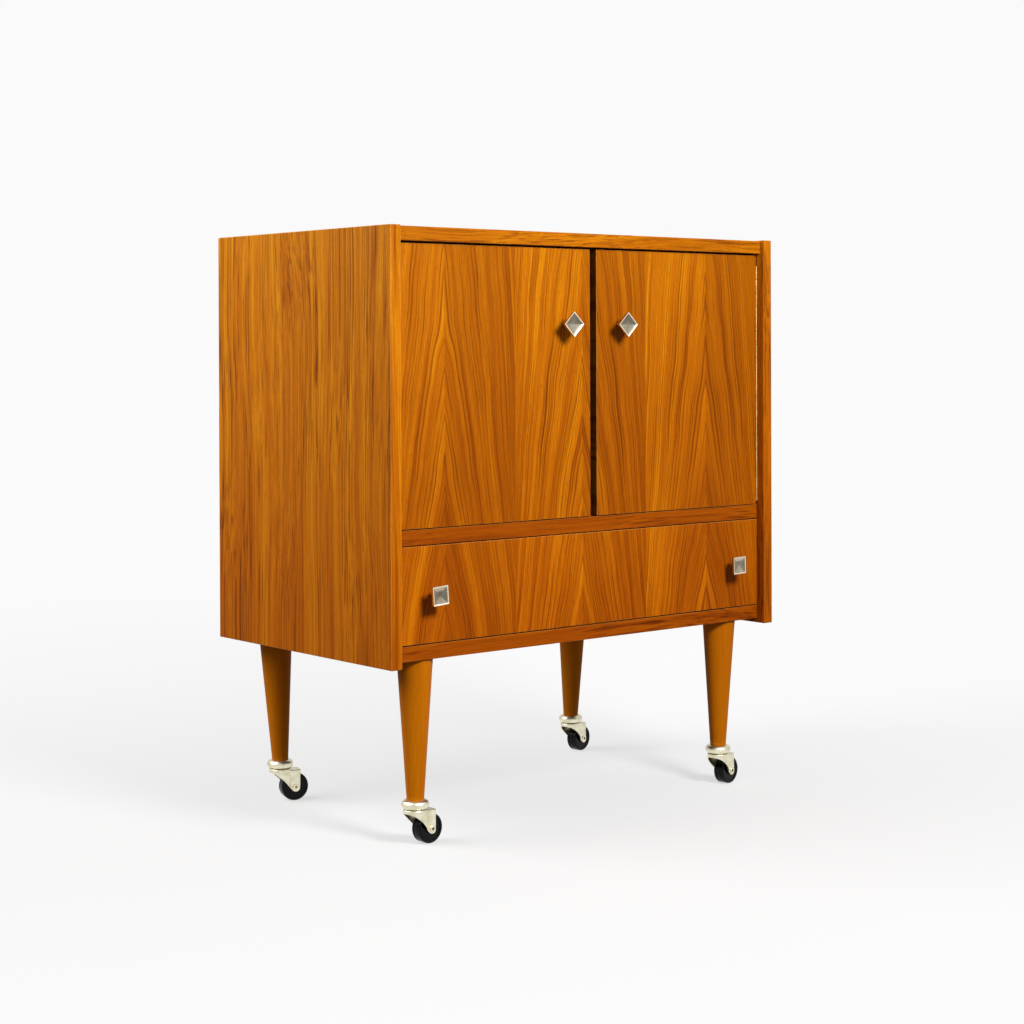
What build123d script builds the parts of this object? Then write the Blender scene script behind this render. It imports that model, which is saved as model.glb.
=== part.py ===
from build123d import *
from math import cos, radians, sin
import os

# A sewing cabinet on four turned legs with swivel casters. Millimetres, Z up.
# Origin: on the floor, under the middle of the bounding box. The front faces -Y.

# --- driving dimensions -------------------------------------------------------------------
WIDTH = 652.0               # over the two side panels
DEPTH = 384.0               # of the side panels, front edge to back edge
PANEL_HEIGHT = 528.0        # of the side panels
LIFT = 222.0                # floor to the bottom edge of the side panels
BOARD = 16.0                # side panels, doors, drawer front, inner shelf
BOTTOM_BOARD = 18.3
SHELF_BOARD = 18.8          # middle shelf
TOP_BOARD = 17.4
PLY = 4.0                   # back panel and drawer bottom
EDGE_ROUND = 0.6            # softened edges of the boards
PANEL_ROUND = 1.0           # and of the side panels

FRONT_RECESS = 12.5         # doors and drawer front, behind the side panels' front edge
RAIL_RECESS = 13.5          # middle shelf and bottom panel
TOP_RECESS = 6.0            # top panel
BOTTOM_RAISE = 6.0          # bottom panel, above the side panels' bottom edge
TOP_DROP = 0.8              # top panel, below the side panels' top edge
SHELF_TOP = 163.4           # top face of the middle shelf, above the side panels' bottom edge

KNOB_REACH = 21.5           # knob face in front of the wood
KNOB_SIDE = 23.0

CARCASS_FRONT = -(DEPTH - (KNOB_REACH - FRONT_RECESS)) / 2
CARCASS_BACK = CARCASS_FRONT + DEPTH
FACE = CARCASS_FRONT + FRONT_RECESS
RAIL_FACE = CARCASS_FRONT + RAIL_RECESS
INNER_X = WIDTH / 2 - BOARD
BACK_PANEL_FRONT = CARCASS_BACK - 2.0 - PLY
REBATE = 8.0                # the back panel's bite into the boards round it

PANEL_TOP = LIFT + PANEL_HEIGHT
BOTTOM_LOW = LIFT + BOTTOM_RAISE
BOTTOM_HIGH = BOTTOM_LOW + BOTTOM_BOARD
SHELF_HIGH = LIFT + SHELF_TOP
SHELF_LOW = SHELF_HIGH - SHELF_BOARD
TOP_HIGH = PANEL_TOP - TOP_DROP
TOP_LOW = TOP_HIGH - TOP_BOARD

DOOR_GAP_LOW = 1.2
DOOR_GAP_HIGH = 2.4
HINGE_GAP = 1.5             # between a door's edge and the side panel: two hinge leaves
LEFT_DOOR_FREE_X = 1.0      # free edges of the doors; the gap lies right of the middle
RIGHT_DOOR_FREE_X = 12.0
DOOR_LOW = SHELF_HIGH + DOOR_GAP_LOW
DOOR_HIGH = TOP_LOW - DOOR_GAP_HIGH

LEAF = 0.7                  # hinge leaf thickness
KNUCKLE_R = 1.25
HINGE_PIN_R = 0.6
PIN_PLAY = 0.05
KNUCKLE_LENGTH = 18.0
KNUCKLE_SLOT = 0.4
HINGE_AXIS_X = INNER_X - HINGE_GAP
HINGE_AXIS_Y = FACE - 0.4
HINGE_GROOVE_R = KNUCKLE_R + 0.3

SCREW_R = 1.4
SCREW_HEAD_R = 2.6
SCREW_HEAD = 0.9
HINGE_SCREW_LENGTH = 13.0

DOWEL_R = 4.0
DOWEL_HALF = 14.0
DOWEL_IN_PANEL = 11.0

INNER_SHELF_Z = LIFT + 330.0
INNER_SHELF_FRONT = CARCASS_FRONT + 92.0
SHELF_PIN_R = 2.5

RUNNER_HEIGHT = 14.0
RUNNER_THICK = 8.0
DRAWER_SIDE = 12.0
DRAWER_GAP = 2.0            # between a drawer side and the side panel
DRAWER_FRONT_GAP = 1.0
DRAWER_LOW = BOTTOM_HIGH + 1.5
DRAWER_HIGH = SHELF_LOW - 1.2
DRAWER_DEPTH = 340.0        # front face to the back of the box
DRAWER_BOX_LOW = BOTTOM_HIGH + 3.0
DRAWER_BOX_HIGH = DRAWER_BOX_LOW + 96.0
RUNNER_Z = DRAWER_BOX_LOW + 56.0

DOOR_KNOB_X = (-44.3, 48.8)
DOOR_KNOB_Z = LIFT + 410.8
DRAWER_KNOB_X = (-258.9, 253.3)
DRAWER_KNOB_TURN = (4.0, 2.0)
DRAWER_KNOB_Z = LIFT + 84.8
KNOB_SCREW_R = 1.5

RACK_WIDTH = 190.0
RACK_HEIGHT = 250.0
RACK_THICK = 10.0
PEG_R = 2.5
PEG_LENGTH = 46.0
PEG_COLUMNS = 4
PEG_ROWS = 4

LEG_TOP_R = 22.2
LEG_FOOT_R = 10.7
LEG_BOLT_R = 4.0

WHEEL_R = 18.5
WHEEL_WIDTH = 15.8
TRAIL = 18.5
RING_R = 17.3
RING_HEIGHT = 11.0
RING_LOW = 44.3
RING_HIGH = RING_LOW + RING_HEIGHT
STEM_R = 4.0
SHEET = 1.5                 # thickness of the fork's steel
CROWN_HIGH = 44.0           # top of the round crown
CROWN_R = 15.0
HOOD_HIGH = 41.5            # top of the hood behind the crown
HOOD_REACH = 26.6           # swivel axis to the back end of the hood
ARM_OUTER = 10.4            # half the outside width of the fork behind the crown
ARM_INNER = ARM_OUTER - SHEET
BOSS_R = 6.2                # round end of each arm, about the axle
AXLE_R = 3.0
AXLE_BORE_R = 1.9
BALL_R = 1.5
BALL_CIRCLE = 7.6
BALL_COUNT = 12

# The legs stand where they were bolted by hand: the foot's x and y, how far the top of the
# leg leans out from it in x and y, and where its caster trails in the stored pose, in
# degrees from +X towards +Y.
CASTERS = {
    "front_left": ((-263.0, -149.0), (0.0, 0.0), 2.9),
    "front_right": ((259.5, -147.7), (1.0, -1.0), 9.1),
    "back_left": ((-254.5, 162.0), (-4.8, 3.1), -14.5),
    "back_right": ((257.0, 157.0), (2.2, -2.0), 10.0),
}
FEET = {place: foot for place, (foot, lean, turn) in CASTERS.items()}
LEG_TOPS = {place: (foot[0] + lean[0], foot[1] + lean[1]) for place, (foot, lean, turn) in CASTERS.items()}


# --- small helpers --------------------------------------------------------------------------
def span(low, high):
    """A box from its low corner to its high corner."""
    size = [high[i] - low[i] for i in range(3)]
    middle = [(high[i] + low[i]) / 2 for i in range(3)]
    return Pos(*middle) * Box(*size)


def softened(shape, amount=EDGE_ROUND):
    """A board with all of its edges lightly rounded."""
    return fillet(shape.edges(), amount)


def rod(start, direction, length, radius):
    """A round rod that begins at start and runs along direction."""
    return extrude(Plane(origin=start, z_dir=direction) * Circle(radius), length)


def wood_screw(start, direction, length):
    """A countersunk screw as shank and flat head; start is the middle of the head's face."""
    head = rod(start, direction, SCREW_HEAD, SCREW_HEAD_R)
    return head + rod(start, direction, length, SCREW_R)


def without(shape, cutters):
    """The shape with every cutter taken out of it."""
    for cutter in cutters:
        shape = shape - cutter
    return shape


def mirrored_x(shape):
    return mirror(shape, Plane.YZ)


# --- dowels and the boards of the carcass ---------------------------------------------------
def dowels_at(z, ys):
    """Dowels between a cross board at height z and both side panels."""
    starts = [(INNER_X - DOWEL_HALF, y, z) for y in ys]
    right = [rod(start, (1, 0, 0), DOWEL_HALF + DOWEL_IN_PANEL, DOWEL_R) for start in starts]
    return right + [mirrored_x(one) for one in right]


DOWEL_YS = [CARCASS_FRONT + 50.0, CARCASS_FRONT + 190.0, CARCASS_BACK - 50.0]
DOWELS = (
    dowels_at((TOP_LOW + TOP_HIGH) / 2, DOWEL_YS)
    + dowels_at((SHELF_LOW + SHELF_HIGH) / 2, DOWEL_YS)
    + dowels_at((BOTTOM_LOW + BOTTOM_HIGH) / 2, DOWEL_YS)
)


def shelf_pins():
    """Four pins under the inner shelf, half in the side panels."""
    ys = (INNER_SHELF_FRONT + 40.0, BACK_PANEL_FRONT - 50.0)
    right = [rod((INNER_X - 9.0, y, INNER_SHELF_Z - SHELF_PIN_R), (1, 0, 0), 18.0, SHELF_PIN_R) for y in ys]
    return right + [mirrored_x(one) for one in right]


def hinge_screw_heights():
    count = 5
    margin = 30.0
    step = (DOOR_HIGH - DOOR_LOW - 2 * margin) / (count - 1)
    return [DOOR_LOW + margin + step * i for i in range(count)]


HINGE_SCREW_Y = FACE + 9.0


def cabinet_hinge_screws():
    """Screws through the right-hand cabinet leaf into the side panel."""
    x = INNER_X - LEAF
    return [wood_screw((x, HINGE_SCREW_Y, z), (1, 0, 0), HINGE_SCREW_LENGTH) for z in hinge_screw_heights()]


def door_hinge_screws():
    """Screws through the right-hand door leaf into the door's edge."""
    x = HINGE_AXIS_X + LEAF
    return [wood_screw((x, HINGE_SCREW_Y, z), (-1, 0, 0), HINGE_SCREW_LENGTH) for z in hinge_screw_heights()]


def runner_screws():
    """Screws through the right-hand drawer runner into the side panel."""
    ys = (FACE + 60.0, FACE + 170.0, FACE + 280.0)
    return [wood_screw((INNER_X - RUNNER_THICK, y, RUNNER_Z), (1, 0, 0), 19.0) for y in ys]


RIGHT_CARCASS_SCREWS = cabinet_hinge_screws() + runner_screws()
CARCASS_SCREWS = RIGHT_CARCASS_SCREWS + [mirrored_x(one) for one in RIGHT_CARCASS_SCREWS]
SHELF_PINS = shelf_pins()


def back_nails():
    """Nails round the edge of the back panel, heads on its back face."""
    face = BACK_PANEL_FRONT + PLY
    x_edge = INNER_X + REBATE / 2
    low = BOTTOM_LOW + BOARD / 2
    high = TOP_LOW + REBATE / 2
    columns = [(side * x_edge, low + (high - low) * i / 4) for side in (-1, 1) for i in range(1, 4)]
    rows = [(x_edge * 0.9 * (i - 2) / 2, z) for z in (low, high) for i in range(5)]
    nails = []
    for x, z in columns + rows:
        shank = rod((x, face, z), (0, -1, 0), PLY + 9.0, 0.8)
        nails.append(shank + rod((x, face, z), (0, 1, 0), 0.8, 2.2))
    return nails


NAILS = back_nails()


def right_side_panel():
    panel = span((INNER_X, CARCASS_FRONT, LIFT), (WIDTH / 2, CARCASS_BACK, PANEL_TOP))
    panel = softened(panel, PANEL_ROUND)
    rebate = span(
        (INNER_X - 1.0, BACK_PANEL_FRONT, BOTTOM_LOW),
        (INNER_X + REBATE, CARCASS_BACK + 1.0, TOP_LOW + REBATE),
    )
    return without(panel, [rebate] + DOWELS + SHELF_PINS + CARCASS_SCREWS + NAILS)


def cross_board(front, back, low, high):
    return softened(span((-INNER_X, front, low), (INNER_X, back, high)))


def top_panel():
    board = cross_board(CARCASS_FRONT + TOP_RECESS, CARCASS_BACK, TOP_LOW, TOP_HIGH)
    rebate = span(
        (-WIDTH / 2, BACK_PANEL_FRONT, TOP_LOW - 1.0),
        (WIDTH / 2, CARCASS_BACK + 1.0, TOP_LOW + REBATE),
    )
    return without(board, [rebate] + DOWELS + NAILS)


def middle_shelf():
    return without(cross_board(RAIL_FACE, BACK_PANEL_FRONT, SHELF_LOW, SHELF_HIGH), DOWELS)


def leg_bolts():
    """Hanger bolts, one up the middle of each leg into the bottom panel."""
    start = BOTTOM_LOW - 32.0
    return [rod((x, y, start), (0, 0, 1), 32.0 + 13.0, LEG_BOLT_R) for x, y in LEG_TOPS.values()]


LEG_BOLTS = leg_bolts()


def bottom_panel():
    board = cross_board(RAIL_FACE, BACK_PANEL_FRONT, BOTTOM_LOW, BOTTOM_HIGH)
    return without(board, DOWELS + LEG_BOLTS + NAILS)


def back_panel():
    reach = INNER_X + REBATE
    sheet = span(
        (-reach, BACK_PANEL_FRONT, BOTTOM_LOW),
        (reach, BACK_PANEL_FRONT + PLY, TOP_LOW + REBATE),
    )
    return without(sheet, NAILS)


def inner_shelf():
    gap = 1.0
    return softened(span(
        (-INNER_X + gap, INNER_SHELF_FRONT, INNER_SHELF_Z),
        (INNER_X - gap, BACK_PANEL_FRONT - gap, INNER_SHELF_Z + BOARD),
    ))


def right_runner():
    strip = span(
        (INNER_X - RUNNER_THICK, FACE + BOARD + 4.0, RUNNER_Z - RUNNER_HEIGHT / 2),
        (INNER_X, FACE + DRAWER_DEPTH - 4.0, RUNNER_Z + RUNNER_HEIGHT / 2),
    )
    return without(softened(strip, 0.5), CARCASS_SCREWS)


# --- piano hinges ---------------------------------------------------------------------------
def knuckle_spans(first):
    """Every second knuckle along the hinge, from the first or from the second one."""
    spans = []
    z = DOOR_LOW + 4.0 + first * KNUCKLE_LENGTH
    while z + KNUCKLE_LENGTH <= DOOR_HIGH - 4.0:
        spans.append((z + KNUCKLE_SLOT / 2, z + KNUCKLE_LENGTH - KNUCKLE_SLOT / 2))
        z += 2 * KNUCKLE_LENGTH
    return spans


def right_hinge_leaf(x_low, first, bore):
    """One leaf of the right-hand hinge with its knuckles, about the hinge axis."""
    leaf = span(
        (x_low, FACE + HINGE_GROOVE_R, DOOR_LOW + 3.0),
        (x_low + LEAF, FACE + BOARD - 0.5, DOOR_HIGH - 3.0),
    )
    for low, high in knuckle_spans(first):
        barrel = rod((HINGE_AXIS_X, HINGE_AXIS_Y, low), (0, 0, 1), high - low, KNUCKLE_R)
        neck = span((x_low, HINGE_AXIS_Y, low), (x_low + LEAF, FACE + 2.5, high))
        leaf = leaf + barrel + neck
    height = DOOR_HIGH - DOOR_LOW
    return leaf - rod((HINGE_AXIS_X, HINGE_AXIS_Y, DOOR_LOW), (0, 0, 1), height, bore)


def right_cabinet_leaf():
    return without(right_hinge_leaf(INNER_X - LEAF, 0, HINGE_PIN_R), CARCASS_SCREWS)


def right_door_leaf():
    return without(right_hinge_leaf(HINGE_AXIS_X, 1, HINGE_PIN_R + PIN_PLAY), door_hinge_screws())


def hinge_pins():
    low = knuckle_spans(0)[0][0]
    high = knuckle_spans(0)[-1][1]
    right = rod((HINGE_AXIS_X, HINGE_AXIS_Y, low), (0, 0, 1), high - low, HINGE_PIN_R)
    return [right, mirrored_x(right)]


# --- knobs ----------------------------------------------------------------------------------
def knob(x, z, turn):
    """A dished square plate with a raised rim on a thin stem, standing at (x, FACE, z)."""
    thick = 3.2
    rim = 0.8
    dish = 2.3
    half = KNOB_SIDE / 2 - rim
    sweep = (half ** 2 + dish ** 2) / (2 * dish)
    plate = extrude(RectangleRounded(KNOB_SIDE, KNOB_SIDE, 0.9), thick)
    # The dish is a vault: two round channels that cross, both as wide as the space in the rim.
    hollow = extrude(Rectangle(2 * half, 2 * half), 2 * thick)
    pole = Pos(0, 0, thick - dish + sweep)
    for turned in (Rot(90, 0, 0), Rot(0, 90, 0)):
        hollow = hollow & (pole * turned * Cylinder(sweep, 2 * KNOB_SIDE))
    plate = Pos(0, 0, KNOB_REACH - thick) * (plate - hollow)
    stem = extrude(Circle(2.6), KNOB_REACH - thick)
    flare = Pos(0, 0, KNOB_REACH - thick - 3.0) * extrude(Circle(2.6), 3.0, taper=-30)
    body = stem + flare + plate
    body = body - extrude(Circle(KNOB_SCREW_R), 12.0)
    return Plane(origin=(x, FACE, z), x_dir=(1, 0, 0), z_dir=(0, -1, 0)) * (Rot(0, 0, turn) * body)


def knob_screw(x, z):
    """A machine screw from behind the board, 12 mm into the knob's stem."""
    back = FACE + BOARD
    shank = rod((x, back, z), (0, -1, 0), BOARD + 12.0, KNOB_SCREW_R)
    head = rod((x, back, z), (0, 1, 0), 2.2, 4.0)
    return shank + fillet(head.edges().group_by(Axis.Y)[-1], 0.8)


# --- doors, drawn for the right side and mirrored for the left --------------------------------
RACK_X = 150.0              # middle of a spool rack, off the middle of the cabinet
RACK_Z = LIFT + 322.0
STRIKE_HALF = 11.0
CATCH_X = {"left": -24.0, "right": 37.0}


def strike_plate(side):
    x = CATCH_X[side]
    back = FACE + BOARD
    return span((x - STRIKE_HALF, back, DOOR_HIGH - 13.0), (x + STRIKE_HALF, back + 1.0, DOOR_HIGH - 1.0))


def magnet_catches():
    front = FACE + BOARD + 1.3
    return [
        softened(span((x - 10.0, front, TOP_LOW - 15.0), (x + 10.0, front + 14.0, TOP_LOW)), 0.5)
        for x in CATCH_X.values()
    ]


def peg_places():
    """Peg positions on the right-hand rack, alternate rows shifted by half a step."""
    step_x = RACK_WIDTH / (PEG_COLUMNS + 0.5)
    step_z = RACK_HEIGHT / PEG_ROWS
    places = []
    for row in range(PEG_ROWS):
        for column in range(PEG_COLUMNS):
            x = RACK_X - RACK_WIDTH / 2 + step_x * (column + 0.5 + 0.5 * (row % 2))
            places.append((x, RACK_Z - RACK_HEIGHT / 2 + step_z * (row + 0.5)))
    return places


def right_spool_pegs():
    start_y = FACE + BOARD + 3.0
    pegs = []
    for x, z in peg_places():
        peg = rod((x, start_y, z), (0, 1, 0), PEG_LENGTH, PEG_R)
        pegs.append(fillet(peg.edges().group_by(Axis.Y)[-1], 1.2))
    return pegs


def right_spool_rack():
    back = FACE + BOARD
    plate = span(
        (RACK_X - RACK_WIDTH / 2, back, RACK_Z - RACK_HEIGHT / 2),
        (RACK_X + RACK_WIDTH / 2, back + RACK_THICK, RACK_Z + RACK_HEIGHT / 2),
    )
    return without(softened(plate, 1.0), right_spool_pegs())


def door(side):
    """One door board with the holes for its screws."""
    free_x = {"left": -LEFT_DOOR_FREE_X, "right": RIGHT_DOOR_FREE_X}[side]
    board = softened(span((free_x, FACE, DOOR_LOW), (HINGE_AXIS_X, FACE + BOARD, DOOR_HIGH)))
    groove = rod((HINGE_AXIS_X, HINGE_AXIS_Y, DOOR_LOW - 1.0), (0, 0, 1), PANEL_HEIGHT, HINGE_GROOVE_R)
    board = without(board, door_hinge_screws() + [groove])
    if side == "left":
        board = mirrored_x(board)
    return board - knob_screw(DOOR_KNOB_X[side == "right"], DOOR_KNOB_Z)


# --- drawer ---------------------------------------------------------------------------------
BOX_X = INNER_X - DRAWER_GAP
BOX_FRONT = FACE + BOARD
BOX_BACK = FACE + DRAWER_DEPTH
GROOVE = 5.0                # depth of the drawer bottom's groove
BOTTOM_PLY_Z = DRAWER_BOX_LOW + 8.0


def drawer_bottom():
    reach = BOX_X - DRAWER_SIDE + GROOVE
    return span((-reach, BOX_FRONT, BOTTOM_PLY_Z), (reach, BOX_BACK - DRAWER_SIDE + GROOVE, BOTTOM_PLY_Z + PLY))


def drawer_right_side():
    board = span((BOX_X - DRAWER_SIDE, BOX_FRONT, DRAWER_BOX_LOW), (BOX_X, BOX_BACK, DRAWER_BOX_HIGH))
    board = softened(board, 0.5)
    play = 0.6
    runner_groove = span(
        (INNER_X - RUNNER_THICK - play, BOX_FRONT - 1.0, RUNNER_Z - RUNNER_HEIGHT / 2 - play),
        (INNER_X, BOX_BACK + 1.0, RUNNER_Z + RUNNER_HEIGHT / 2 + play),
    )
    return without(board, [runner_groove, drawer_bottom()])


def drawer_back():
    reach = BOX_X - DRAWER_SIDE
    board = span((-reach, BOX_BACK - DRAWER_SIDE, DRAWER_BOX_LOW), (reach, BOX_BACK, DRAWER_BOX_HIGH))
    return softened(board, 0.5) - drawer_bottom()


def drawer_front():
    reach = INNER_X - DRAWER_FRONT_GAP
    board = softened(span((-reach, FACE, DRAWER_LOW), (reach, FACE + BOARD, DRAWER_HIGH)))
    return without(board, [knob_screw(x, DRAWER_KNOB_Z) for x in DRAWER_KNOB_X])


# --- legs and casters -------------------------------------------------------------------------
def caster_stem():
    """The stem on the swivel axis: a pin up into the leg and a riveted head under the crown."""
    head_low = CROWN_HIGH - SHEET - 1.4
    pin = extrude(Plane.XY.offset(head_low) * Circle(STEM_R), 75.0 - head_low)
    head = extrude(Plane.XY.offset(head_low) * Circle(5.6), 1.2)
    return pin + head


def leg(lean):
    """A turned leg standing on the Z axis: a straight taper whose top leans out a little."""
    foot = Plane.XY.offset(RING_HIGH) * Circle(LEG_FOOT_R)
    top = Plane.XY.offset(BOTTOM_LOW) * Pos(lean[0], lean[1]) * Circle(LEG_TOP_R)
    body = loft([foot, top])
    body = fillet(body.edges().group_by(Axis.Z)[-1], 1.0)
    body = fillet(body.edges().group_by(Axis.Z)[0], 0.8)
    bolt = Pos(lean[0], lean[1], BOTTOM_LOW - 32.0) * extrude(Circle(LEG_BOLT_R), 60.0)
    return body - bolt - caster_stem()


def caster_ring():
    """The doughnut under the leg, hollow below for the balls."""
    ring = extrude(Plane.XY.offset(RING_LOW) * Circle(RING_R), RING_HEIGHT)
    ring = fillet(ring.edges(), RING_HEIGHT / 2 - 0.05)
    cup = extrude(Plane.XY.offset(RING_LOW) * Circle(BALL_CIRCLE + BALL_R + 0.4), 2 * BALL_R + 0.4)
    return ring - cup - caster_stem()


def caster_balls():
    balls = []
    for i in range(BALL_COUNT):
        angle = radians(360.0 * i / BALL_COUNT)
        centre = (BALL_CIRCLE * cos(angle), BALL_CIRCLE * sin(angle), RING_LOW + BALL_R + 0.1)
        balls.append(Pos(*centre) * Sphere(BALL_R))
    return balls


def fork_blank(inset):
    """The fork's body before its sides are cut: a round crown with a lower, square hood behind it."""
    crown = extrude(Circle(CROWN_R - inset), CROWN_HIGH - inset)
    half = ARM_OUTER - inset
    hood = span((0, -half, 0), (HOOD_REACH - inset, half, HOOD_HIGH - inset))
    corners = hood.edges().filter_by(Axis.Z).group_by(Axis.X)[-1]
    return crown, fillet(corners, 5.0 - inset)


def fork_profile():
    """What is left of the fork seen from its side: the arms with their round ends."""
    toe = CROWN_R + 1.0
    height = CROWN_HIGH + 2.0
    slant = BOSS_R * sin(radians(45.0))
    return make_face([
        Spline(
            (-toe, 39.6), (-10.0, 37.3), (-5.0, 33.6), (0.0, 29.2), (4.5, 24.4), (9.0, 19.4),
            (TRAIL - slant, WHEEL_R - slant),
        ),
        ThreePointArc(
            (TRAIL - slant, WHEEL_R - slant), (TRAIL, WHEEL_R - BOSS_R), (TRAIL + BOSS_R, WHEEL_R),
        ),
        Line((TRAIL + BOSS_R, WHEEL_R), (HOOD_REACH - 0.6, 37.5)),
        Line((HOOD_REACH - 0.6, 37.5), (HOOD_REACH + 1.0, 37.5)),
        Line((HOOD_REACH + 1.0, 37.5), (HOOD_REACH + 1.0, height)),
        Line((HOOD_REACH + 1.0, height), (-toe, height)),
        Line((-toe, height), (-toe, 39.6)),
    ])


def fork():
    """The stamped fork, trailing along +X."""
    crown, hood = fork_blank(0.0)
    crown = fillet(crown.edges().group_by(Axis.Z)[-1], 1.4)
    hood = fillet(hood.edges().group_by(Axis.Z)[-1], 1.2)
    inner_crown, inner_hood = fork_blank(SHEET)
    reach = CROWN_R + 5.0
    profile = extrude(Plane.XZ.offset(-reach) * fork_profile(), 2 * reach)
    body = (crown + hood - inner_crown - inner_hood) & profile
    rear_opening = span((TRAIL, -ARM_INNER, 0), (HOOD_REACH + 5.0, ARM_INNER, 37.5))
    stem_hole = extrude(Circle(STEM_R + PIN_PLAY), CROWN_HIGH + 5.0)
    axle_hole = Pos(TRAIL, 0, WHEEL_R) * Rot(90, 0, 0) * Cylinder(AXLE_R, 60.0)
    return without(body, [rear_opening, stem_hole, axle_hole])


def axle():
    """A hollow rivet with a rolled rim outside each arm."""
    tube = Cylinder(AXLE_R, 2 * ARM_OUTER + 2.0)
    for side in (-1, 1):
        rim = Pos(0, 0, side * (ARM_OUTER + 0.6)) * Cylinder(AXLE_R + 1.0, 1.2)
        tube = tube + fillet(rim.edges(), 0.5)
    tube = tube - Cylinder(AXLE_BORE_R, 60.0)
    return Pos(TRAIL, 0, WHEEL_R) * Rot(90, 0, 0) * tube


def wheel():
    """A black wheel: ridged tread, stepped side faces and a plain bore."""
    half = WHEEL_WIDTH / 2
    blank = extrude(Circle(WHEEL_R), WHEEL_WIDTH)
    blank = Pos(0, 0, -half) * fillet(blank.edges(), 2.2)
    cutters = []
    for z in (-half * 0.4, half * 0.4):
        cutters.append(Pos(0, 0, z) * (Cylinder(WHEEL_R + 1, 1.1) - Cylinder(WHEEL_R - 0.6, 1.1)))
    for side in (-1, 1):
        step = Cylinder(WHEEL_R - 4.0, 1.6) - Cylinder(6.4, 1.6)
        cutters.append(Pos(0, 0, side * half) * step)
    hub = Cylinder(6.0, 2 * ARM_INNER - 0.8)
    body = without(blank, cutters) + hub - Cylinder(AXLE_R + PIN_PLAY, 60.0)
    return Pos(TRAIL, 0, WHEEL_R) * Rot(90, 0, 0) * body


# --- all sub-parts ------------------------------------------------------------------------------
def build_parts():
    """Every node's name with its solid or its group of separate solids."""
    right_panel = right_side_panel()
    right_runner_strip = right_runner()
    right_leaf = right_cabinet_leaf()
    door_leaf = right_door_leaf()
    door_screws = door_hinge_screws()
    rack = right_spool_rack()
    pegs = right_spool_pegs()
    drawer_side = drawer_right_side()
    feet = [Pos(x, y, 0) for x, y in FEET.values()]
    parts = {
        "right_side_panel": right_panel,
        "left_side_panel": mirrored_x(right_panel),
        "top_panel": top_panel(),
        "middle_shelf": middle_shelf(),
        "bottom_panel": bottom_panel(),
        "back_panel": back_panel(),
        "inner_shelf": inner_shelf(),
        "shelf_pins": SHELF_PINS,
        "carcass_dowels": DOWELS,
        "carcass_screws": CARCASS_SCREWS,
        "back_panel_nails": NAILS,
        "right_hinge_cabinet_leaf": right_leaf,
        "left_hinge_cabinet_leaf": mirrored_x(right_leaf),
        "hinge_pins": hinge_pins(),
        "magnet_catches": magnet_catches(),
        "right_drawer_runner": right_runner_strip,
        "left_drawer_runner": mirrored_x(right_runner_strip),
        "leg_bolts": LEG_BOLTS,
        "caster_rings": [foot * caster_ring() for foot in feet],
        "caster_stems": [foot * caster_stem() for foot in feet],
        "caster_balls": [foot * ball for foot in feet for ball in caster_balls()],
        "right_hinge_door_leaf": door_leaf,
        "left_hinge_door_leaf": mirrored_x(door_leaf),
        "right_door_screws": door_screws,
        "left_door_screws": [mirrored_x(one) for one in door_screws],
        "right_spool_rack": rack,
        "left_spool_rack": mirrored_x(rack),
        "right_spool_pegs": pegs,
        "left_spool_pegs": [mirrored_x(one) for one in pegs],
        "drawer_front": drawer_front(),
        "drawer_right_side": drawer_side,
        "drawer_left_side": mirrored_x(drawer_side),
        "drawer_back": drawer_back(),
        "drawer_bottom": drawer_bottom(),
        "drawer_knobs": [
            knob(x, DRAWER_KNOB_Z, turn) for x, turn in zip(DRAWER_KNOB_X, DRAWER_KNOB_TURN)
        ],
        "drawer_knob_screws": [knob_screw(x, DRAWER_KNOB_Z) for x in DRAWER_KNOB_X],
    }
    for side, knob_x in zip(("left", "right"), DOOR_KNOB_X):
        parts[side + "_door"] = door(side)
        parts[side + "_door_knob"] = knob(knob_x, DOOR_KNOB_Z, 45.0)
        parts[side + "_knob_screw"] = knob_screw(knob_x, DOOR_KNOB_Z)
        parts[side + "_strike_plate"] = strike_plate(side)
    for place, ((x, y), lean, turn) in CASTERS.items():
        at = Pos(x, y, 0) * Rot(0, 0, turn)
        parts["leg_" + place] = Pos(x, y, 0) * leg(lean)
        parts["caster_fork_" + place] = at * fork()
        parts["caster_axle_" + place] = at * axle()
        parts["caster_wheel_" + place] = at * wheel()
    return parts


os.makedirs("parts", exist_ok=True)
for name, shape in build_parts().items():
    solid = Compound(children=list(shape)) if isinstance(shape, (list, ShapeList)) else shape
    export_step(solid, "parts/" + name + ".step")
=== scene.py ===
import math

import bpy
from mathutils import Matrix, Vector


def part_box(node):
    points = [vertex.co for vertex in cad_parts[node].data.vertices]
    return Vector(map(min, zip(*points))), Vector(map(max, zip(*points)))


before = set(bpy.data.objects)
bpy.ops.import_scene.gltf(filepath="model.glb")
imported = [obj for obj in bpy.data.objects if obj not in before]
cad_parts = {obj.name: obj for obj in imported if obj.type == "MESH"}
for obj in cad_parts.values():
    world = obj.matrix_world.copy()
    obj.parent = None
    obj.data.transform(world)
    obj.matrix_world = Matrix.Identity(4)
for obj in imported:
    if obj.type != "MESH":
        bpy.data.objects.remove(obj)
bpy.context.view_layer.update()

MM = 0.001


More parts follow.
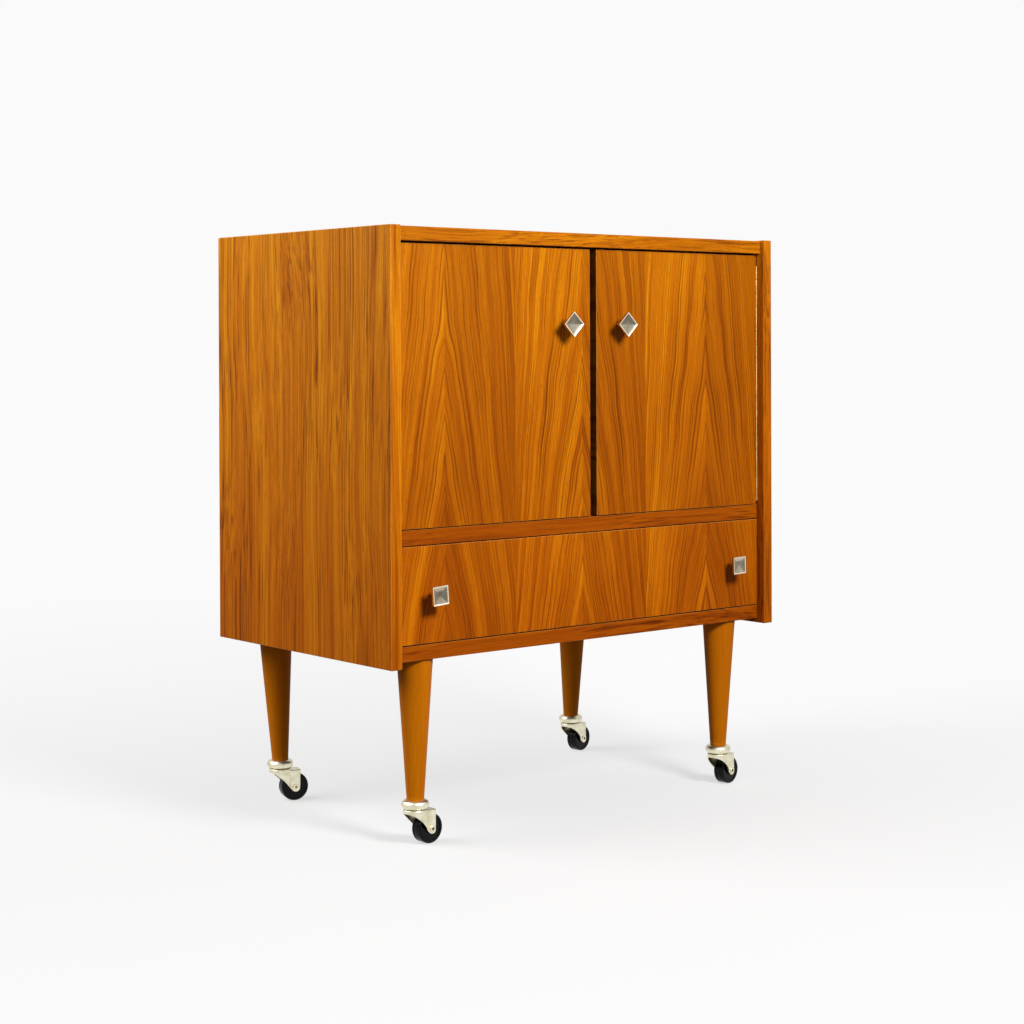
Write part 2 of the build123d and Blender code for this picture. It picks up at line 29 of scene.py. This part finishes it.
# --- node graphs ------------------------------------------------------------------------------
class Graph:
    """One material's node tree, built with short calls. Values may be numbers, tuples or sockets."""

    def __init__(self, name):
        self.material = bpy.data.materials.new(name)
        self.material.use_nodes = True
        self.tree = self.material.node_tree
        self.tree.nodes.clear()

    def node(self, kind, **settings):
        made = self.tree.nodes.new(kind)
        for key, value in settings.items():
            setattr(made, key, value)
        return made

    def feed(self, socket, value):
        if isinstance(value, bpy.types.NodeSocket):
            self.tree.links.new(value, socket)
        else:
            socket.default_value = value

    def math(self, operation, *values):
        made = self.node("ShaderNodeMath", operation=operation)
        for socket, value in zip(made.inputs, values):
            self.feed(socket, value)
        return made.outputs[0]

    def split(self, coordinate):
        """A kind of texture coordinate, as three sockets."""
        made = self.node("ShaderNodeSeparateXYZ")
        self.feed(made.inputs[0], self.node("ShaderNodeTexCoord").outputs[coordinate])
        return made.outputs[0], made.outputs[1], made.outputs[2]

    def place(self):
        """The point's coordinates on the object, in metres, as three sockets."""
        return self.split("Object")

    def normal(self):
        """The surface's normal on the object, as three sockets."""
        return self.split("Normal")

    def vector(self, x, y, z):
        made = self.node("ShaderNodeCombineXYZ")
        for socket, value in zip(made.inputs, (x, y, z)):
            self.feed(socket, value)
        return made.outputs[0]

    def noise(self, vector, scale=1.0, detail=3.0, roughness=0.5):
        made = self.node("ShaderNodeTexNoise")
        self.feed(made.inputs["Vector"], vector)
        made.inputs["Scale"].default_value = scale
        made.inputs["Detail"].default_value = detail
        made.inputs["Roughness"].default_value = roughness
        return made.outputs["Fac"]

    def stretched(self, place, wide, long, grain, detail=3.0, roughness=0.5, offset=0.0):
        """Noise drawn out along the grain: features wide across it and long along it, in metres."""
        scaled = []
        for axis, socket in enumerate(place):
            size = long if axis == grain else wide
            scaled.append(self.math("MULTIPLY_ADD", socket, 1.0 / size, offset))
        return self.noise(self.vector(*scaled), 1.0, detail, roughness)

    def ramp(self, value, stops):
        """A colour ramp through (position, colour) stops."""
        made = self.node("ShaderNodeValToRGB")
        elements = made.color_ramp.elements
        while len(elements) < len(stops):
            elements.new(0.5)
        for element, (position, colour) in zip(elements, stops):
            element.position = position
            element.color = (*colour, 1.0)
        self.feed(made.inputs[0], value)
        return made.outputs[0]

    def between(self, value, low, high):
        """0 below low, 1 above high, smooth between."""
        made = self.node("ShaderNodeMapRange", interpolation_type="SMOOTHSTEP")
        for name, number in (("Value", value), ("From Min", low), ("From Max", high)):
            self.feed(made.inputs[name], number)
        return made.outputs[0]

    def mix(self, share, first, second, blend="MIX"):
        made = self.node("ShaderNodeMix", data_type="RGBA", blend_type=blend)
        self.feed(made.inputs[0], share)
        for socket, value in ((made.inputs[6], first), (made.inputs[7], second)):
            self.feed(socket, (*value, 1.0) if isinstance(value, tuple) else value)
        return made.outputs[2]

    def bright(self, colour, value):
        """The colour times a plain number or socket."""
        made = self.node("ShaderNodeVectorMath", operation="SCALE")
        self.feed(made.inputs[0], colour)
        self.feed(made.inputs["Scale"], value)
        return made.outputs[0]

    def bump(self, height, strength, distance):
        made = self.node("ShaderNodeBump")
        made.inputs["Strength"].default_value = strength
        made.inputs["Distance"].default_value = distance
        self.feed(made.inputs["Height"], height)
        return made.outputs[0]

    def surface(self, colour, roughness, bump=None, **plain):
        """The finished shader; plain holds numbers for sockets that are the same all over."""
        shader = self.node("ShaderNodeBsdfPrincipled")
        self.feed(shader.inputs["Base Color"], (*colour, 1.0) if isinstance(colour, tuple) else colour)
        self.feed(shader.inputs["Roughness"], roughness)
        for name, value in plain.items():
            shader.inputs[name.replace("_", " ")].default_value = value
        if bump is not None:
            self.feed(shader.inputs["Normal"], bump)
        output = self.node("ShaderNodeOutputMaterial")
        self.feed(output.inputs[0], shader.outputs[0])
        return self.material


# --- wood -------------------------------------------------------------------------------------
X, Y, Z = 0, 1, 2
LEAF = 111.5 * MM           # width of one veneer leaf
CABINET_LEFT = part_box("left_side_panel")[0].x
FIRST_SEAM = CABINET_LEFT + 90 * MM
LEAN_FADE = 6.07            # per metre from a pointed seam: how fast the lines straighten up
UPRIGHTNESS = 0.118         # the more, the steeper all the lines
RISE = 0.265                # how fast the pattern climbs low on the cabinet
RISE_FADE = 0.110           # how much of that is lost for each metre of height
BEND = 26 * MM              # how far the lines wander
RIGHT_LEAF_LIGHT = -0.09    # added to the light on the right leaf of each pair
END_EDGE_LIGHT = -0.50      # painted shade added to the light on the veneered end edges of a board, which face the shaded gaps beside the doors

# Colours of the wood by tone, dark to pale.
TEAK = [
    (0.30, (0.245, 0.050, 0.0004)),
    (0.50, (0.355, 0.086, 0.0006)),
    (0.62, (0.425, 0.115, 0.0010)),
    (0.78, (0.560, 0.190, 0.0022)),
]
REDDER_TEAK = [
    (0.30, (0.230, 0.040, 0.0004)),
    (0.50, (0.320, 0.066, 0.0006)),
    (0.72, (0.420, 0.105, 0.0012)),
]
LEG_WOOD = [
    (0.30, (0.40, 0.100, 0.0008)),
    (0.50, (0.52, 0.142, 0.0010)),
    (0.70, (0.64, 0.200, 0.0020)),
]
DARK_LINE = (0.130, 0.020, 0.0002)
DARK_PORE = (0.130, 0.022, 0.0003)
LEG_PORE = (0.20, 0.05, 0.002)
# The painted highlight on the rounded arrises, where the edges catch the light.
ARRIS_HIGHLIGHT_COLOUR = (0.66, 0.33, 0.085)
FIBRE = 0.40                # how strongly single fibres show
PORE = 0.55                 # how strongly the pores do
THIN_LINE = 0.62            # how strongly the thin dark lines do
# Painted shade by height in metres: the teak is darker and redder low on the cabinet, where less light
# falls, and yellower near its top; the gain below brightens the whole painted light.
HEIGHT_SHADE = [(0.28, (0.83, 0.725, 0.72)), (0.73, (0.92, 1.0, 1.0))]
HEIGHT_SHADE_GAIN = 1.13
TEAK_SHEEN = {"Specular_IOR_Level": 0.05}


def pores(g, place, grain):
    """Short dark pores along the grain, 1 where a pore is."""
    speck = g.stretched(place, 0.45 * MM, 9 * MM, grain, detail=1.0, offset=3.7)
    return g.between(speck, 0.63, 0.74)


# Where the painted highlight on the arrises goes.
def arris_mask(g):
    """1 on the rounded arrises between the faces of a board, 0 on its flat faces."""
    squares = [g.math("MULTIPLY", n, n) for n in g.normal()]
    largest = g.math("MAXIMUM", g.math("MAXIMUM", squares[0], squares[1]), squares[2])
    return g.math("SUBTRACT", 1.0, g.between(largest, 0.80, 0.985))


def finish_wood(g, place, grain, tone, light, lines, stops=TEAK, arris_highlight_share=0.5):
    """Teak from the grain's tone, with dark lines, pores, painted shade by height, a painted highlight on
    the arrises and a satin lacquer.
    """
    fibre = g.stretched(place, 0.9 * MM, 30 * MM, grain, detail=2.0, roughness=0.7, offset=8.3)
    tone = g.math("MULTIPLY_ADD", fibre, FIBRE, g.math("SUBTRACT", tone, FIBRE / 2))
    colour = g.mix(lines, g.ramp(tone, stops), DARK_LINE)
    pore = pores(g, place, grain)
    colour = g.mix(g.math("MULTIPLY", pore, PORE), colour, DARK_PORE)
    # Painted shade by height, then the board's painted light.
    colour = g.mix(1.0, colour, g.ramp(place[Z], HEIGHT_SHADE), blend="MULTIPLY")
    colour = g.bright(colour, g.math("MULTIPLY", light, HEIGHT_SHADE_GAIN))
    # Painted highlight on the rounded arrises.
    colour = g.mix(g.math("MULTIPLY", arris_mask(g), arris_highlight_share), colour, ARRIS_HIGHLIGHT_COLOUR)
    height = g.math("SUBTRACT", tone, g.math("MULTIPLY", pore, 0.9))
    rough = g.math("MULTIPLY_ADD", tone, -0.10, 0.50)
    return g.surface(colour, rough, g.bump(height, 0.12, 0.25 * MM), **TEAK_SHEEN)


def weigh(g, middle, *parts):
    """A tone about the middle value: each part is a noise and its weight."""
    tone = middle
    for noise, weight in parts:
        tone = g.math("MULTIPLY_ADD", noise, weight, g.math("SUBTRACT", tone, weight / 2))
    return tone


def straight_grain(
    name, grain, light=1.0, middle=0.58, shift=0.0, edge_light=1.0, stops=TEAK, arris_highlight_share=0.5,
):
    """Quarter-cut teak: waving streaks, fine dark lines and pores along one axis.

    The light paints brightness on the whole board and edge_light on its front edge, as painted light; the
    last argument sets the painted highlight on the arrises.
    """
    g = Graph(name)
    place = g.place()
    sway = g.stretched(place, 110 * MM, 330 * MM, grain, detail=0.0, offset=shift)
    wavy = [
        socket if axis == grain else g.math("MULTIPLY_ADD", sway, 42 * MM, socket)
        for axis, socket in enumerate(place)
    ]
    broad = g.stretched(wavy, 14 * MM, 700 * MM, grain, detail=2.0, offset=shift)
    fine = g.stretched(wavy, 3.0 * MM, 500 * MM, grain, detail=2.0, roughness=0.6, offset=shift)
    cloud = g.stretched(place, 60 * MM, 400 * MM, grain, detail=2.0, offset=shift)
    tone = weigh(g, middle, (broad, 0.50), (fine, 0.40), (cloud, 0.20))
    thin = g.stretched(wavy, 2.0 * MM, 650 * MM, grain, detail=1.0, offset=shift + 4.1)
    patchy = g.stretched(place, 30 * MM, 330 * MM, grain, detail=1.0, offset=shift + 1.7)
    lines = g.math("MULTIPLY", g.between(thin, 0.54, 0.62), g.between(patchy, 0.28, 0.58))
    streak = g.stretched(wavy, 9 * MM, 750 * MM, grain, detail=2.0, offset=shift + 6.6)
    streak = g.between(streak, 0.52, 0.70)
    dark = g.math("MULTIPLY_ADD", streak, 0.42, g.math("MULTIPLY", lines, THIN_LINE))
    front_facing = g.between(g.math("ABSOLUTE", g.normal()[1]), 0.85, 0.95)
    shade = g.math("MULTIPLY_ADD", front_facing, light * (edge_light - 1.0), light)
    return finish_wood(g, place, grain, tone, shade, dark, stops, arris_highlight_share)


def bookmatched(name, light=1.0):
    """Teak in leaves that mirror each other, so that the slanting lines meet in points at the seams."""
    g = Graph(name)
    x, y, z = g.place()
    # Distance from the nearest pointed seam, and which of the two mirrored leaves the point is on.
    cycle = g.math("DIVIDE", g.math("SUBTRACT", x, FIRST_SEAM), 2 * LEAF)
    turned = g.math("SUBTRACT", cycle, g.math("ROUND", cycle))
    across = g.math("MULTIPLY", g.math("ABSOLUTE", turned), 2 * LEAF)
    right_leaf = g.math("GREATER_THAN", turned, 0.0)
    pair = g.math("MULTIPLY", g.math("ROUND", cycle), 3.0)
    # The lines lean most beside a pointed seam and low on the board, least at the other seams.
    lean_out = g.math("MULTIPLY_ADD", across, -LEAN_FADE, 1.0)
    sideways = g.math("MULTIPLY", g.math("LOGARITHM", lean_out, math.e), -UPRIGHTNESS)
    upward = g.math("MULTIPLY", z, g.math("MULTIPLY_ADD", z, -RISE_FADE, RISE))
    bend = g.noise(g.vector(g.math("MULTIPLY", across, 9.0), pair, g.math("MULTIPLY", z, 5.5)), 1.0, 2.0)
    ring = g.math("MULTIPLY_ADD", bend, BEND, g.math("ADD", sideways, upward))

    def along_ring(scale, slide, detail, shift=0.0):
        """Noise that changes quickly from line to line and slowly up the board."""
        crossing = g.math("MULTIPLY", ring, scale)
        rising = g.math("MULTIPLY", z, slide)
        return g.noise(g.vector(crossing, g.math("ADD", pair, shift), rising), 1.0, detail, 0.55)

    cloud = g.noise(g.vector(g.math("MULTIPLY", x, 9.0), pair, g.math("MULTIPLY", z, 4.0)), 1.0, 2.0)
    broad = along_ring(70.0, 1.4, 2.0)
    fine = along_ring(300.0, 2.2, 2.0)
    tone = weigh(g, 0.575, (broad, 0.62), (fine, 0.42), (cloud, 0.25))
    tone = g.math("MULTIPLY_ADD", right_leaf, -0.07, tone)
    thin = along_ring(420.0, 2.6, 1.0, 7.0)
    patchy = along_ring(45.0, 7.0, 1.0, 5.0)
    lines = g.math("MULTIPLY", g.between(thin, 0.53, 0.61), g.between(patchy, 0.25, 0.55))
    streak = g.between(along_ring(110.0, 2.8, 2.0, 2.0), 0.56, 0.74)
    dark = g.math("MULTIPLY_ADD", streak, 0.32, g.math("MULTIPLY", lines, THIN_LINE))
    shade = g.math("MULTIPLY", g.math("MULTIPLY_ADD", right_leaf, RIGHT_LEAF_LIGHT, 1.06), light)
    # Painted shade on the end edges, which face the shaded gaps between the doors.
    end_edge = g.between(g.math("ABSOLUTE", g.normal()[0]), 0.85, 0.95)
    shade = g.math("MULTIPLY", shade, g.math("MULTIPLY_ADD", end_edge, END_EDGE_LIGHT, 1.0))
    return finish_wood(g, (x, y, z), Z, tone, shade, dark)


def pale_wood(name, grain, dark, pale):
    """Unfinished beech or ply: faint streaks and short flecks."""
    g = Graph(name)
    place = g.place()
    streak = g.stretched(place, 9 * MM, 300 * MM, grain, detail=3.0)
    fleck = g.stretched(place, 0.6 * MM, 4 * MM, grain, detail=1.0, offset=1.3)
    tone = g.math("MULTIPLY_ADD", g.between(fleck, 0.55, 0.7), -0.18, streak)
    colour = g.ramp(tone, [(0.25, dark), (0.70, pale)])
    return g.surface(colour, 0.62, g.bump(tone, 0.15, 0.2 * MM), Specular_IOR_Level=0.25)


def turned_wood(name):
    """Turned legs: close even grain along the leg, stained a little redder."""
    g = Graph(name)
    place = g.place()
    broad = g.stretched(place, 26 * MM, 700 * MM, Z, detail=2.0)
    lines = g.stretched(place, 2.2 * MM, 200 * MM, Z, detail=3.0, roughness=0.6)
    tone = g.math("MULTIPLY_ADD", broad, 0.34, g.math("MULTIPLY", lines, 0.30))
    tone = g.math("ADD", tone, 0.17)
    colour = g.ramp(tone, LEG_WOOD)
    colour = g.mix(g.math("MULTIPLY", pores(g, place, Z), 0.25), colour, LEG_PORE)
    return g.surface(colour, 0.42, g.bump(tone, 0.10, 0.2 * MM), **TEAK_SHEEN)


# --- metal, plastic ---------------------------------------------------------------------------
KNOB_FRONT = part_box("drawer_knobs")[0].y
KNOB_DARK = (0.39, 0.34, 0.24)
KNOB_PALE = (0.60, 0.53, 0.40)
# The rim's pale peach is a painted reflection.
KNOB_RIM_REFLECTION = (1.0, 0.84, 0.64)
DUST = (0.12, 0.11, 0.10)
POLISH = 0.12               # how much smoother the pale clouds of a metal are than its dark ones


def metal(name, dark, pale, roughness, scale=60.0):
    """Plated metal with soft tarnish clouds and fine scratches."""
    g = Graph(name)
    place = g.vector(*g.place())
    cloud = g.noise(place, scale, 4.0, 0.6)
    fine = g.noise(place, scale * 22, 2.0)
    colour = g.ramp(cloud, [(0.30, dark), (0.62, pale)])
    rough = g.math("MULTIPLY_ADD", cloud, -POLISH, roughness + POLISH / 2)
    return g.surface(colour, rough, g.bump(fine, 0.05, 0.05 * MM), Metallic=1.0)


def black_plastic(name, colour, roughness):
    """Hard moulded plastic, dusty in places."""
    g = Graph(name)
    place = g.vector(*g.place())
    dust = g.between(g.noise(place, 70.0, 4.0, 0.65), 0.50, 0.80)
    shade = g.mix(g.math("MULTIPLY", dust, 0.05), colour, DUST)
    rough = g.math("MULTIPLY_ADD", dust, 0.22, roughness)
    fine = g.noise(place, 900.0, 2.0)
    return g.surface(shade, rough, g.bump(fine, 0.06, 0.1 * MM), Specular_IOR_Level=0.14)


def knob_plate(name):
    """Satin nickel in the dish and a rougher rim, painted pale peach as a painted reflection of the light
    it catches.
    """
    g = Graph(name)
    x, y, z = g.place()
    place = g.vector(x, y, z)
    # The dished plate lies behind its rim, so the rim is told by its depth.
    rim = g.between(y, KNOB_FRONT + 0.45 * MM, KNOB_FRONT + 0.10 * MM)
    cloud = g.noise(place, 110.0, 3.0, 0.6)
    dish = g.ramp(cloud, [(0.30, KNOB_DARK), (0.65, KNOB_PALE)])
    # Painted reflection on the rim.
    colour = g.mix(rim, dish, KNOB_RIM_REFLECTION)
    rough = g.math("MULTIPLY_ADD", rim, 0.30, 0.17)
    fine = g.noise(place, 1800.0, 2.0)
    return g.surface(colour, rough, g.bump(fine, 0.05, 0.05 * MM), Metallic=1.0)


# --- materials on the CAD nodes ---------------------------------------------------------------
def paint(material, *nodes):
    """Makes the material the only one on each node."""
    for node in nodes:
        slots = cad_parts[node].data.materials
        slots.clear()
        slots.append(material)


BEECH = ((0.50, 0.33, 0.16), (0.66, 0.48, 0.27))
PLY = ((0.22, 0.11, 0.045), (0.34, 0.18, 0.08))

# Each board's light and edge_light are painted light, so the boards are brighter or darker copies of the
# same teak.
front = bookmatched("teak_front", light=1.03)
drawer_veneer = bookmatched("teak_drawer", light=1.14)
side = straight_grain("teak_side", Z, light=1.06, middle=0.65, shift=5.3, edge_light=1.12, arris_highlight_share=0.35)
right_side = straight_grain("teak_right_side", Z, middle=0.57, shift=7.7, edge_light=1.15, arris_highlight_share=0.10)
crosswise = straight_grain("teak_crosswise", X, light=1.06, shift=9.1, arris_highlight_share=0.25)
shelf_rail = straight_grain("teak_rail", X, light=1.02, shift=2.4, stops=REDDER_TEAK, arris_highlight_share=0.25)
legs = turned_wood("leg_wood")
beech = pale_wood("beech", Y, *BEECH)
beech_upright = pale_wood("beech_upright", Z, *BEECH)
beech_cross = pale_wood("beech_cross", X, *BEECH)
ply = pale_wood("ply", X, *PLY)
knob_metal = knob_plate("satin_nickel")
caster_metal = metal("caster_nickel", (0.66, 0.60, 0.40), (0.87, 0.83, 0.65), 0.36, scale=110.0)
brass = metal("aged_brass", (0.45, 0.25, 0.08), (0.80, 0.52, 0.22), 0.45)
steel = metal("zinc_steel", (0.40, 0.40, 0.40), (0.64, 0.64, 0.63), 0.34)
rubber = black_plastic("wheel_black", (0.0015, 0.0015, 0.0016), 0.14)
catch_plastic = black_plastic("catch_brown", (0.045, 0.022, 0.012), 0.45)

SIDES = ("left", "right")
PLACES = ("front_left", "front_right", "back_left", "back_right")
paint(front, "left_door", "right_door")
paint(drawer_veneer, "drawer_front")
paint(side, "left_side_panel")
paint(right_side, "right_side_panel")
paint(crosswise, "top_panel")
paint(shelf_rail, "middle_shelf", "bottom_panel", "inner_shelf")
paint(beech, "left_drawer_runner", "right_drawer_runner", "drawer_left_side", "drawer_right_side")
paint(beech_cross, "drawer_back", "carcass_dowels")
paint(ply, "back_panel", "drawer_bottom")
paint(knob_metal, "drawer_knobs")
paint(caster_metal, "caster_rings", "caster_stems")
paint(steel, "carcass_screws", "back_panel_nails", "drawer_knob_screws", "hinge_pins")
paint(steel, "shelf_pins", "leg_bolts", "caster_balls")
paint(catch_plastic, "magnet_catches")
for side_name in SIDES:
    paint(beech_upright, side_name + "_spool_rack", side_name + "_spool_pegs")
    paint(knob_metal, side_name + "_door_knob")
    paint(brass, side_name + "_hinge_cabinet_leaf", side_name + "_hinge_door_leaf")
    paint(steel, side_name + "_door_screws", side_name + "_knob_screw", side_name + "_strike_plate")
for place_name in PLACES:
    paint(legs, "leg_" + place_name)
    paint(caster_metal, "caster_fork_" + place_name, "caster_axle_" + place_name)
    paint(rubber, "caster_wheel_" + place_name)


# --- floor, lights, camera --------------------------------------------------------------------
BACKDROP = 0.955
FLOOR_WHITE = 0.28          # how much of the light the floor scatters
FLOOR_REACH = 40            # metres from the middle to each edge
OPEN_SHARE = 0.94           # what reaches the open floor, of the light worked out for it
PAPER = ((-0.75, -0.62), (0.80, 0.60))
PAPER_GLOW = 0.95
SKY_ABOVE = 0.30
SKY_BELOW = 0.14
SKY_CHANGE = (-0.15, 0.05)  # the slopes of a ray between which the sky's halves blend
SHINE_GAIN = 1.5            # the share by which the room is brighter for polished things
LAMPS = {
    "key": {"place": (-0.10, -1.60, 1.36), "target": (0.0, -0.19, 0.60), "size": 0.56, "watts": 37},
    "left_fill": {"place": (-1.5, 0.60, 1.45), "target": (-0.30, 0.05, 0.50), "size": 1.5, "watts": 35},
}


def lamp_glow(g, lamp):
    """How much the lamp brightens a white, level floor at each of its points."""
    beam = (Vector(lamp["place"]) - Vector(lamp["target"])).normalized()
    to_lamp = g.node("ShaderNodeVectorMath", operation="SUBTRACT")
    to_lamp.inputs[0].default_value = lamp["place"]
    g.feed(to_lamp.inputs[1], g.node("ShaderNodeTexCoord").outputs["Object"])
    squared = g.node("ShaderNodeVectorMath", operation="DOT_PRODUCT")
    facing = g.node("ShaderNodeVectorMath", operation="DOT_PRODUCT")
    for socket in (squared.inputs[0], squared.inputs[1], facing.inputs[0]):
        g.feed(socket, to_lamp.outputs[0])
    facing.inputs[1].default_value = beam
    share = g.math("DIVIDE", facing.outputs["Value"], g.math("POWER", squared.outputs["Value"], 2.0))
    height = lamp["place"][Z]
    return g.math("MULTIPLY", g.math("MAXIMUM", share, 0.0), lamp["watts"] * height / math.pi ** 2)


def sheet(name, low, high, z):
    """A level rectangle between two corners, at one height."""
    mesh = bpy.data.meshes.new(name)
    corners = [(low[0], low[1], z), (high[0], low[1], z), (high[0], high[1], z), (low[0], high[1], z)]
    mesh.from_pydata(corners, [], [(0, 1, 2, 3)])
    plane = bpy.data.objects.new(name, mesh)
    bpy.context.scene.collection.objects.link(plane)
    return plane


def floor(lamps, ambient):
    """A white sweep as bright as the backdrop wherever no shadow falls on it."""
    plane = sheet("floor", (-FLOOR_REACH, -FLOOR_REACH), (FLOOR_REACH, FLOOR_REACH), 0)
    plane.visible_diffuse = False
    plane.visible_glossy = False
    g = Graph("floor_white")
    matt = g.node("ShaderNodeBsdfDiffuse")
    matt.inputs["Color"].default_value = (FLOOR_WHITE, FLOOR_WHITE, FLOOR_WHITE, 1.0)
    lit = ambient
    for lamp in lamps:
        lit = g.math("ADD", lit, lamp_glow(g, lamp))
    glow = g.node("ShaderNodeEmission")
    g.feed(glow.inputs["Strength"], g.math("MULTIPLY_ADD", lit, -OPEN_SHARE * FLOOR_WHITE, BACKDROP))
    both = g.node("ShaderNodeAddShader")
    g.feed(both.inputs[0], matt.outputs[0])
    g.feed(both.inputs[1], glow.outputs[0])
    g.feed(g.node("ShaderNodeOutputMaterial").inputs[0], both.outputs[0])
    plane.data.materials.append(g.material)


def paper():
    """The white paper near the object, which only its shiny parts see; the room beyond is dimmer."""
    plane = sheet("paper", *PAPER, -1 * MM)
    for way in ("camera", "diffuse", "shadow", "transmission"):
        setattr(plane, "visible_" + way, False)
    g = Graph("paper_white")
    glow = g.node("ShaderNodeEmission")
    glow.inputs["Strength"].default_value = PAPER_GLOW
    g.feed(g.node("ShaderNodeOutputMaterial").inputs[0], glow.outputs[0])
    plane.data.materials.append(g.material)


def area_light(name, place, target, size, watts):
    """A round lamp that points from its place to its target."""
    data = bpy.data.lights.new(name, "AREA")
    data.shape = "DISK"
    data.size = size
    data.energy = watts
    lamp = bpy.data.objects.new(name, data)
    lamp.location = place
    lamp.rotation_euler = (Vector(target) - Vector(place)).to_track_quat("-Z", "Y").to_euler()
    bpy.context.scene.collection.objects.link(lamp)


def sky(above, below):
    """A white backdrop for the camera; for lighting the object, dim light with a darker half below."""
    world = bpy.data.worlds.new("studio")
    world.use_nodes = True
    tree = world.node_tree
    shade = tree.nodes["Background"]
    shade.inputs["Color"].default_value = (1.0, 1.0, 1.0, 1.0)
    split = tree.nodes.new("ShaderNodeSeparateXYZ")
    tree.links.new(tree.nodes.new("ShaderNodeTexCoord").outputs["Generated"], split.inputs[0])
    height = tree.nodes.new("ShaderNodeMapRange")
    for name, value in zip(("From Min", "From Max", "To Min", "To Max"), (*SKY_CHANGE, below, above)):
        height.inputs[name].default_value = value
    tree.links.new(split.outputs[2], height.inputs["Value"])
    path = tree.nodes.new("ShaderNodeLightPath")
    strength = tree.nodes.new("ShaderNodeMapRange")
    strength.inputs["To Max"].default_value = BACKDROP
    # Polished things see a brighter room than the one that lights the matt ones.
    shine = tree.nodes.new("ShaderNodeMath")
    shine.operation = "MULTIPLY_ADD"
    shine.inputs[1].default_value = SHINE_GAIN
    shine.inputs[2].default_value = 1.0
    tree.links.new(path.outputs["Is Glossy Ray"], shine.inputs[0])
    seen = tree.nodes.new("ShaderNodeMath")
    seen.operation = "MULTIPLY"
    tree.links.new(shine.outputs[0], seen.inputs[0])
    tree.links.new(height.outputs[0], seen.inputs[1])
    tree.links.new(seen.outputs[0], strength.inputs["To Min"])
    tree.links.new(path.outputs["Is Camera Ray"], strength.inputs["Value"])
    tree.links.new(strength.outputs[0], shade.inputs["Strength"])
    bpy.context.scene.world = world


def camera():
    """A camera left of the front, all but level, with its picture shifted down to hold the legs."""
    panel_low, panel_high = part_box("left_side_panel")
    unit = panel_high.z - panel_low.z
    yaw = 39.663
    pitch = 0.40
    roll = 0.202
    # The focal length and the horizon's height over the middle, as shares of the picture's width.
    focal_share = 1.990625
    horizon_share = 0.161328125
    data = bpy.data.cameras.new("camera")
    data.lens = data.sensor_width * focal_share
    data.shift_y = -(horizon_share - focal_share * math.tan(math.radians(pitch)))
    eye = bpy.data.objects.new("camera", data)
    # Counted in panel heights from the low front corner of the left side panel.
    eye.location = panel_low + Vector((-2.695, -3.6756, 0.7246)) * unit
    eye.rotation_euler = [math.radians(a) for a in (90 - pitch, roll, -yaw)]
    bpy.context.scene.collection.objects.link(eye)
    bpy.context.scene.camera = eye


floor(LAMPS.values(), SKY_ABOVE)
paper()
sky(SKY_ABOVE, SKY_BELOW)
for lamp_name, lamp in LAMPS.items():
    area_light(lamp_name, **lamp)
camera()
bpy.context.scene.view_settings.view_transform = "Standard"
